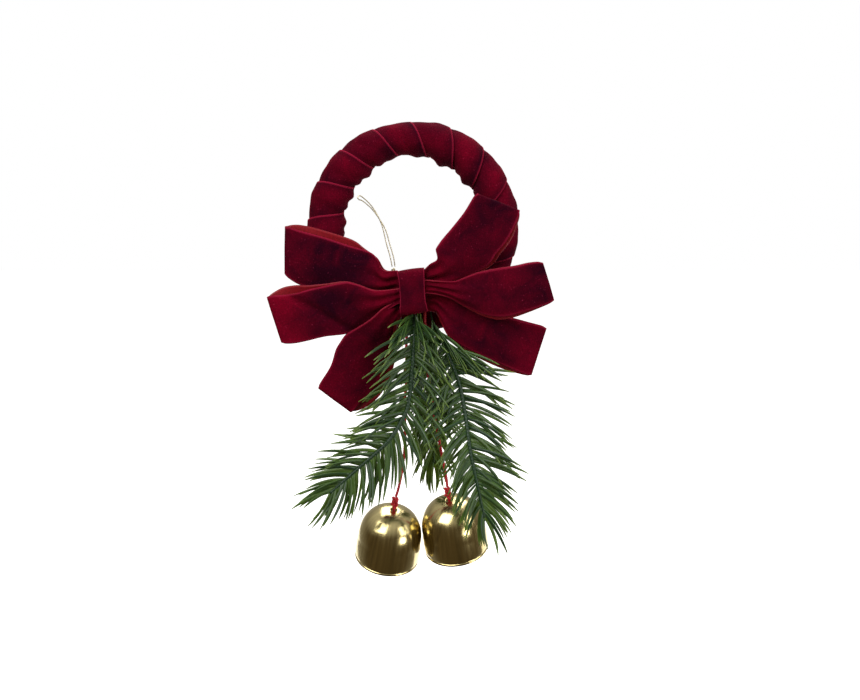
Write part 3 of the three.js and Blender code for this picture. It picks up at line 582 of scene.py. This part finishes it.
BAND_HEIGHT, BAND_DEPTH, BAND_WIDTH = 10.4, 6.3, 6.5  # half of each
BAND_LEAN = math.radians(8)
BAND_MIDDLE = (-16.9, -64.6)  # y and z
rows, columns = 96, 22
grid = np.zeros((rows, columns, 3))
v = np.linspace(-1, 1, columns)
for i in range(rows):
    turn = 2 * math.pi * i / rows
    c, s = math.cos(turn), math.sin(turn)
    height = math.copysign(BAND_HEIGHT * abs(s) ** 0.5, s)
    depth = math.copysign(BAND_DEPTH * abs(c) ** 0.5, c)
    half = BAND_WIDTH - 0.55 * (1 - (height / BAND_HEIGHT) ** 2) + 0.25 * (height < -6)
    bow_out = 1 + 0.03 * (1 - v**2)
    ripple = 0.18 * np.sin(5 * v + height / 3) + 0.12 * np.sin(9 * v - height / 2)
    x = v * half + 0.6 * math.sin(height / 6)
    y = BAND_MIDDLE[0] - depth * bow_out + ripple * (c > 0)
    z = height * bow_out
    grid[i] = np.column_stack([x * math.cos(BAND_LEAN) - z * math.sin(BAND_LEAN), y,
                               x * math.sin(BAND_LEAN) + z * math.cos(BAND_LEAN) + BAND_MIDDLE[1]])
band = skin("knot_wrap", grid, ribbon_stock, wrap_rows=True)
# The pile tone rises towards the top and bottom of the band, where it turns round: partly leaning pile,
# partly painted sheen.
mark(band, "nap", 0.22 + 0.3 * np.abs(grid[:, :, 2] - BAND_MIDDLE[1]) / BAND_HEIGHT)
thicken(band, 0.7)
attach(band, "ornament")
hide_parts("knot_band")

# ---- tie wire and stems --------------------------------------------------------------------------
# Soft steel wire in dark green varnish ties the bow to the hoop, and runs down inside each sprig.

# Green varnish over wire: thin, slightly glossy and a little uneven.
green_wire, tree, shader, _ = mottled("green varnished wire", "#17241a", "#31432f", 500.0, 2.0,
                                      **{"Roughness": 0.42, "Coat Weight": 0.3})
for node in ("bow_tie_wire", "left_sprig_stem", "right_sprig_stem", "middle_sprig_stem"):
    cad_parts[node].material_slots[0].material = green_wire

# ---- sprigs --------------------------------------------------------------------------------------
# Moulded polyethylene pine: a green sleeve on the stem with soft curved needles growing off it on
# both sides and to the front, each a flat blade with a blunt pale tip.

# Polyethylene needles: waxy and deep green, dappled at random, paler and yellower at the tips, on needles
# fanned towards the back and on the young middle sprig, with a painted highlight along both edges of each
# needle.
pine, tree, shader = finish("moulded pine polyethylene", **{"Roughness": 0.42, "Specular IOR Level": 0.35})
tone, tip, margin = [add(tree, "ShaderNodeAttribute", attribute_name=label).outputs["Fac"]
                     for label in ("tone", "tip", "margin")]
body_green = blend(tree, tone, "#0b1e12", "#7f9f1e")
dappled = blend(tree, speckle(tree, 260.0, 2.0), body_green, "#19361c")
# Painted highlight: a lighter green along the two edges of each needle.
edge_highlight_share = add(tree, "ShaderNodeMath", {0: margin, 1: 0.45}, operation="MULTIPLY")
edged = blend(tree, edge_highlight_share.outputs[0], dappled, "#57782a")
young = add(tree, "ShaderNodeMapRange", {"Value": tip, 1: 0.8, 2: 1.0, 4: 0.55})
tree.links.new(blend(tree, young.outputs[0], edged, "#7d9440"), shader.inputs["Base Color"])


def needle():
    """One needle along Z, 24 mm long, curving towards +X, flat in that bend and ridged down its face."""
    stations = np.linspace(0, 1, 9)
    outline = np.array([0.7, 0.95, 1.0, 1.0, 1.0, 0.94, 0.84, 0.62, 0.22])
    section = np.array([(0.82, 0.0), (0.35, 0.24), (-0.35, 0.24), (-0.82, 0.0), (-0.35, -0.3), (0.35, -0.3)])
    grid = np.zeros((len(stations), 6, 3))
    for k, (t, w) in enumerate(zip(stations, outline)):
        grid[k, :, 0] = 5.2 * t * t + section[:, 0] * w
        grid[k, :, 1] = section[:, 1] * w
        grid[k, :, 2] = 24 * t
    made = skin("needle", grid, [pine], wrap_columns=True, capped=True)
    mark(made, "tip", np.repeat(stations, 6))
    # The two outer corners of each section mark the edges that carry the painted highlight.
    mark(made, "margin", np.tile([1, 0, 0, 1, 0, 0], 9))
    return made


def needle_rows(name):
    """Geometry Nodes: needles along a stem, left and right in turn, fanned out in depth at random."""
    rows = bpy.data.node_groups.new(name, "GeometryNodeTree")
    kinds = {"Stem": "Geometry", "Needle": "Object", "Seed": "Int", "Finish": "Material"}
    for label in ("Stem", "Needle", "Step", "Spread", "Fan", "Young", "Length", "Left length", "Left root",
                  "Right root", "Seed", "Finish"):
        kind = "NodeSocket" + kinds.get(label, "Float")
        rows.interface.new_socket(label, in_out="INPUT", socket_type=kind)
    rows.interface.new_socket("Needles", in_out="OUTPUT", socket_type="NodeSocketGeometry")
    asked = add(rows, "NodeGroupInput")

    def maths(operation, a, b=0.0):
        return add(rows, "ShaderNodeMath", {0: a, 1: b}, operation=operation).outputs[0]

    def chance(low, high, shift):
        number = maths("ADD", asked.outputs["Seed"], shift)
        draw = add(rows, "FunctionNodeRandomValue", data_type="FLOAT")
        draw.inputs[2].default_value, draw.inputs[3].default_value = low, high
        rows.links.new(number, draw.inputs["Seed"])
        return draw.outputs[1]

    def vectors(operation, a, b=(0, 0, 0)):
        return add(rows, "ShaderNodeVectorMath", {0: a, 1: b}, operation=operation).outputs[0]

    def scaled(vector, factor):
        return add(rows, "ShaderNodeVectorMath", {0: vector, 3: factor}, operation="SCALE").outputs[0]

    points = add(rows, "GeometryNodeCurveToPoints", {"Curve": asked.outputs["Stem"],
                                                     "Length": asked.outputs["Step"]}, mode="LENGTH")
    along = add(rows, "GeometryNodeCaptureAttribute", {"Geometry": points.outputs["Points"]}, domain="POINT")
    along.capture_items.new("VECTOR", "along")
    rows.links.new(points.outputs["Tangent"], along.inputs[1])
    tangent = along.outputs[1]
    index = add(rows, "GeometryNodeInputIndex").outputs[0]
    count = add(rows, "GeometryNodeAttributeDomainSize", {0: points.outputs["Points"]},
                component="POINTCLOUD")
    share = maths("DIVIDE", index, count.outputs["Point Count"])
    side = maths("SUBTRACT", maths("MULTIPLY", maths("MODULO", index, 2.0), 2.0), 1.0)
    rear = add(rows, "ShaderNodeMapRange", {"Value": share, 1: 0.15, 2: 0.6, 3: 0.15, 4: -0.8}).outputs[0]
    drawn = maths("ADD", rear, maths("MULTIPLY", chance(0.0, 1.0, 3), maths("SUBTRACT", 1.0, rear)))
    lift = add(rows, "ShaderNodeMapRange", {"Value": share, 1: 0.0, 2: 0.14, 3: 0.9, 4: 0.0}).outputs[0]
    fan = maths("ADD", maths("MULTIPLY", drawn, asked.outputs["Fan"]), lift)
    closing = maths("SUBTRACT", 1.0, maths("MULTIPLY", maths("POWER", share, 6.0), 0.6))
    left_share = maths("MULTIPLY", maths("ADD", side, 1.0), 0.5)
    root = maths("ADD", asked.outputs["Right root"], maths("MULTIPLY", left_share, maths(
        "SUBTRACT", asked.outputs["Left root"], asked.outputs["Right root"])))
    opening = maths("MINIMUM", 1.0, maths("ADD", root, maths("MULTIPLY", share, 2.2)))
    spread = maths("MULTIPLY", maths("MULTIPLY", asked.outputs["Spread"], chance(0.75, 1.25, 5)),
                   maths("MULTIPLY", closing, opening))
    sideways = vectors("NORMALIZE", vectors("CROSS_PRODUCT", tangent, (0, -1, 0)))
    forwards = vectors("NORMALIZE", vectors("CROSS_PRODUCT", sideways, tangent))
    out = vectors("ADD", scaled(sideways, maths("MULTIPLY", side, maths("COSINE", fan))),
                  scaled(forwards, maths("SINE", fan)))
    aim = vectors("ADD", scaled(tangent, maths("COSINE", spread)), scaled(out, maths("SINE", spread)))
    upright = add(rows, "FunctionNodeAlignRotationToVector", {"Vector": aim}, axis="Z")
    turned = add(rows, "FunctionNodeAlignRotationToVector", {
        "Rotation": upright.outputs[0], "Vector": tangent}, axis="X", pivot_axis="Z")
    by_side = maths("ADD", 1.0, maths("MULTIPLY", left_share, maths(
        "SUBTRACT", asked.outputs["Left length"], 1.0)))
    shorter = maths("SUBTRACT", 1.04, maths("MULTIPLY", maths("POWER", share, 6.0), 0.3))
    reach = maths("MULTIPLY", maths("MULTIPLY", chance(0.84, 1.12, 9), shorter),
                  maths("MULTIPLY", by_side, asked.outputs["Length"]))
    size = add(rows, "ShaderNodeCombineXYZ", {0: chance(0.8, 1.15, 7), 1: 1.0, 2: reach})
    shape = add(rows, "GeometryNodeObjectInfo", {"Object": asked.outputs["Needle"]})
    placed = add(rows, "GeometryNodeInstanceOnPoints", {
        "Points": along.outputs[0], "Instance": shape.outputs["Geometry"], "Rotation": turned.outputs[0],
        "Scale": size.outputs[0]})
    behind = add(rows, "ShaderNodeMapRange", {"Value": fan, 1: 0.15, 2: -0.9, 3: 0.0, 4: 0.75})
    shade = maths("ADD", maths("ADD", behind.outputs[0], chance(0.0, 0.22, 12)), asked.outputs["Young"])
    kept = add(rows, "GeometryNodeStoreNamedAttribute", {
        "Geometry": placed.outputs[0], "Name": "tone", "Value": shade}, data_type="FLOAT", domain="INSTANCE")
    real = add(rows, "GeometryNodeRealizeInstances", {"Geometry": kept.outputs[0]})
    done = add(rows, "GeometryNodeSetMaterial", {"Geometry": real.outputs[0],
                                                 "Material": asked.outputs["Finish"]})
    add(rows, "NodeGroupOutput", {0: done.outputs[0]})
    return rows


rows_of_needles = needle_rows("rows of needles")
one_needle = needle()
# For each sprig, the bare share of its stem, how its needles grow, and its route.
sprigs = {
    "left": (0.03, {"Seed": 7, "Step": 0.64, "Spread": 1.12, "Fan": 0.6, "Young": 0.0, "Length": 0.98,
                    "Left length": 1.0, "Left root": 0.66, "Right root": 0.5}, [
        (0.5, TIED, -70), (0.5, TIED, -74.5), (0.6, -12.6, -78.6), (0.7, -17, -82.6), (0.7, -19.8, -88),
        (0.3, -21, -96), (-0.5, -22, -105), (-1.4, -23, -114.5), (-3.8, -24.5, -123.4),
        (-11.7, -27.5, -135.6), (-24.5, -30, -147), (-39.3, -32, -159.8)]),
    "right": (0.05, {"Seed": 19, "Step": 0.64, "Spread": 1.14, "Fan": 0.58, "Young": 0.0, "Length": 1.04,
                     "Left length": 0.84, "Left root": 0.66, "Right root": 0.35}, [
        (8.4, TIED, -74), (9.2, TIED, -79), (13.2, -13, -87.5), (18.2, -16.5, -97.7), (22.8, -20, -110),
        (25.7, -24, -125.5), (27.7, -29, -140), (30.6, -32, -154), (34.4, -33, -171.4)]),
    "middle": (0.02, {"Seed": 31, "Step": 0.68, "Spread": 0.85, "Fan": 0.7, "Young": 0.3, "Length": 0.88,
                      "Left length": 1.0, "Left root": 0.5, "Right root": 0.5}, [
        (3.1, TIED, -72), (3.3, TIED, -80), (4.2, -8.8, -88.5), (6.4, -4.5, -98), (8.6, -1.5, -108),
        (10, 0.6, -122), (10.4, 2, -140), (10.4, 3, -154)]),
}
for side, (bare, growth, route) in sprigs.items():
    path = through(route, 0.5)
    path = path[int(bare * len(path)) :]
    stem = bpy.data.curves.new(side + "_stem_line", "CURVE")
    stem.dimensions = "3D"
    line = stem.splines.new("POLY")
    line.points.add(len(path) - 1)
    line.points.foreach_set("co", np.column_stack([path * MM, np.ones(len(path))]).ravel())
    grown = bpy.data.objects.new(side + "_growth", stem)
    bpy.context.scene.collection.objects.link(grown)
    tool = grown.modifiers.new("needles", "NODES")
    tool.node_group = rows_of_needles
    given = {**growth, "Step": growth["Step"] * MM, "Needle": one_needle, "Finish": pine}
    for item in rows_of_needles.interface.items_tree:
        if item.in_out == "INPUT" and item.name in given:
            tool[item.identifier] = given[item.name]
    grown.update_tag()
    bpy.context.view_layer.update()
    dg = bpy.context.evaluated_depsgraph_get()
    mesh = bpy.data.meshes.new_from_object(grown.evaluated_get(dg))
    bpy.data.objects.remove(grown)
    mesh.name = side + "_pine_needles"
    needles = bpy.data.objects.new(side + "_pine_needles", mesh)
    bpy.context.scene.collection.objects.link(needles)
    even = np.linspace(0, 1, len(path))
    thickness = np.interp(even, [0, 0.12, 0.25, 0.7, 1], [0.3, 0.36, 1.0, 0.9, 0.6])
    thickness = thickness * (1 + 0.12 * np.sin(np.arange(len(path)) * 1.9))
    sleeve = skin(side + "_pine_sleeve", rings(path, thickness, 12), [pine], wrap_columns=True, capped=True)
    for label, value in (("tone", 0.02 + growth["Young"] * 0.5), ("tip", 0.0), ("margin", 0.0)):
        mark(sleeve, label, np.full(len(sleeve.data.vertices), value))
    for part in (needles, sleeve):
        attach(part, "ornament")
    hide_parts(side + "_sprig_needles")
bpy.data.objects.remove(one_needle)

# ---- bells ---------------------------------------------------------------------------------------
# Each bell is spun from thin brass sheet, with a squared dome, a hole in its crown for the cord and a
# rolled lip, then lacquered.


BELL_HEIGHT, SHOULDER = 29.5, 12  # above the mouth
WALL, HOLE_RADIUS = 0.8, 1.5
BALL_RADIUS, BALL_DEPTH = 4, 24.1  # the depths are below the crown
WIRE_RADIUS, EYE_RADIUS, EYE_DEPTH = 0.4, 1.5, 9.0  # of the clapper's rod and its eye


def crown_radius(height, inset):
    """Radius of the bell at a height above its mouth: a barely bulging skirt under a squared dome."""
    if height < SHOULDER:
        return 16.5 - 0.35 * ((height - 5) / 7) ** 2 - inset
    rise = min((height - SHOULDER) / (BELL_HEIGHT - inset - SHOULDER), 1)
    return max((16.15 - inset) * (1 - rise**2.3) ** (1 / 2.3), HOLE_RADIUS)


# Spun brass under clear lacquer: a pale gold mirror, faintly drawn out in streaks down its sides.
brass, tree, shader = finish("lacquered spun brass", **{"Metallic": 1.0})
place = add(tree, "ShaderNodeTexCoord")
drawn = add(tree, "ShaderNodeMapping", {"Vector": place.outputs["UV"], "Scale": (3.0, 60.0, 1.0)})
streaks = add(tree, "ShaderNodeTexNoise", {"Vector": drawn.outputs[0], "Scale": 1.0, "Detail": 4.0,
                                           "Roughness": 0.6})
tree.links.new(blend(tree, streaks.outputs[0], "#a49468", "#decd90"), shader.inputs["Base Color"])
dull = add(tree, "ShaderNodeMapRange", {"Value": streaks.outputs[0], 1: 0.3, 2: 0.7, 3: 0.14, 4: 0.26})
tree.links.new(dull.outputs[0], shader.inputs["Roughness"])

# Nickel-plated steel clappers: a greyer, cooler shine.
nickel, tree, shader, _ = mottled("nickel plated steel", "#8f8d86", "#d8d6ce", 700.0, 3.0,
                                  **{"Metallic": 1.0, "Roughness": 0.25})

bend = np.linspace(0, math.pi / 2, 40)
outer_heights = [*(SHOULDER + (BELL_HEIGHT - SHOULDER) * np.sin(bend[::-1])), *np.linspace(11, 2.2, 10)]
inner_heights = [*np.linspace(0.9, 11, 10), *(SHOULDER + (BELL_HEIGHT - WALL - SHOULDER) * np.sin(bend))]
outside = [(crown_radius(h, 0), h) for h in outer_heights]
inside = [(crown_radius(h, WALL), h) for h in inner_heights]
outside, inside = [[(r, h) for r, h in wall if r > HOLE_RADIUS] for wall in (outside, inside)]
lip = [(15.85 + 0.6 * math.cos(a), 0.75 + 0.7 * math.sin(a)) for a in np.linspace(1.25, -2.6, 18)]
profile = [(HOLE_RADIUS, 29.2), *outside, *lip, *inside, (HOLE_RADIUS, 28.9)]
angles = np.linspace(math.pi / 2 - 0.12, -math.pi / 2 + 0.01, 30)
ball_profile = [(0.5, 2.0), *[(BALL_RADIUS * math.cos(a), BALL_RADIUS * math.sin(a)) for a in angles],
                (0.02, -BALL_RADIUS)]
turn = np.linspace(0, 2 * math.pi, 96, endpoint=False)


def spun(profile, top):
    """The grid of a profile of (radius, height) points turned about Z, hanging from the given top."""
    return np.array([np.column_stack([r * np.cos(turn), r * np.sin(turn), np.full(len(turn), h - top)])
                     for r, h in profile])


for side, place_of_bell in bells.items():
    bell = skin(side + "_spun_bell", hung(spun(profile, BELL_HEIGHT), *place_of_bell), [brass],
                wrap_rows=True, wrap_columns=True)
    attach(bell, side + "_bell_body")
    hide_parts(side + "_bell")
    ball = skin(side + "_ball", hung(spun(ball_profile, BALL_DEPTH), *place_of_bell), [nickel],
                wrap_columns=True, capped=True)
    t = np.linspace(0, 2 * math.pi, 40, endpoint=False)
    eye = np.column_stack([EYE_RADIUS * np.sin(t), 0 * t, EYE_RADIUS * np.cos(t) - EYE_DEPTH])
    ring = skin(side + "_eye", hung(rings(eye, WIRE_RADIUS, 10, closed=True), *place_of_bell), [nickel],
                wrap_rows=True, wrap_columns=True)
    line = np.array([(0, 0, z) for z in np.linspace(-EYE_DEPTH - EYE_RADIUS, -BALL_DEPTH, 12)])
    rod = skin(side + "_rod", hung(rings(line, WIRE_RADIUS, 10), *place_of_bell), [nickel],
               wrap_columns=True, capped=True)
    for part in (ball, ring, rod):
        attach(part, side + "_clapper_body")
    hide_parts(side + "_clapper_ball")
    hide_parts(side + "_clapper_rod")

# ---- studio --------------------------------------------------------------------------------------
# A pale floor far below the hanging ornament and behind it, and soft light from above and both sides.

pale_floor, tree, shader = finish("matte white paint", **{"Roughness": 0.9})
shader.inputs["Base Color"].default_value = linear("#f2f1ee")
shader.inputs["Emission Color"].default_value = linear("#ffffff")
shader.inputs["Emission Strength"].default_value = 0.62
floor_mesh = bpy.data.meshes.new("floor")
corners = [(-0.4, 0.25), (1.8, 0.05), (4, 6), (-3, 6)]
floor_mesh.from_pydata([(x, y, -0.42) for x, y in corners], [], [(0, 1, 2, 3)])
floor_mesh.materials.append(pale_floor)
floor = bpy.data.objects.new("floor", floor_mesh)
bpy.context.scene.collection.objects.link(floor)

world = bpy.data.worlds.new("studio")
world.use_nodes = True
tree = world.node_tree
tree.nodes.clear()
ray = add(tree, "ShaderNodeLightPath")
sky = add(tree, "ShaderNodeTexCoord")
heading = add(tree, "ShaderNodeSeparateXYZ", {0: sky.outputs["Generated"]})
high = add(tree, "ShaderNodeMapRange", {"Value": heading.outputs[2], 1: 0.05, 2: 0.8})
behind = add(tree, "ShaderNodeMapRange", {"Value": heading.outputs[1], 1: -0.1, 2: 0.9, 4: 0.6})
bright = add(tree, "ShaderNodeMath", {0: high.outputs[0], 1: behind.outputs[0]}, operation="MAXIMUM")
drapes = add(tree, "ShaderNodeTexNoise", {"Vector": heading.outputs[0], "Scale": 7.0, "Detail": 1.0})
wall = blend(tree, drapes.outputs[0], "#1c160e", "#8c7a5c")
room = blend(tree, bright.outputs[0], wall, "#ffffff")
lit = add(tree, "ShaderNodeBackground", {"Color": room, "Strength": 0.65})
plain = add(tree, "ShaderNodeBackground", {"Color": (1, 1, 1, 1), "Strength": 1.0})
choice = add(tree, "ShaderNodeMixShader", {0: ray.outputs["Is Camera Ray"], 1: lit.outputs[0],
                                           2: plain.outputs[0]})
add(tree, "ShaderNodeOutputWorld", {0: choice.outputs[0]})
bpy.context.scene.world = world
bpy.context.scene.view_settings.view_transform = "Standard"

for name, spot, size, power in (("key", (-0.7, -0.9, 0.75), 1.1, 22), ("fill", (0.95, -0.6, 0.3), 0.7, 7),
                                ("top", (0.1, 0.5, 1.0), 1.0, 18), ("card", (0.68, -0.62, -0.36), 0.3, 3)):
    lamp = bpy.data.lights.new(name, "AREA")
    lamp.energy, lamp.size = power, size
    light = bpy.data.objects.new(name, lamp)
    light.location = spot
    aim = Vector((0, 0, -0.09)) - Vector(spot)
    light.rotation_euler = aim.to_track_quat("-Z", "Y").to_euler()
    bpy.context.scene.collection.objects.link(light)
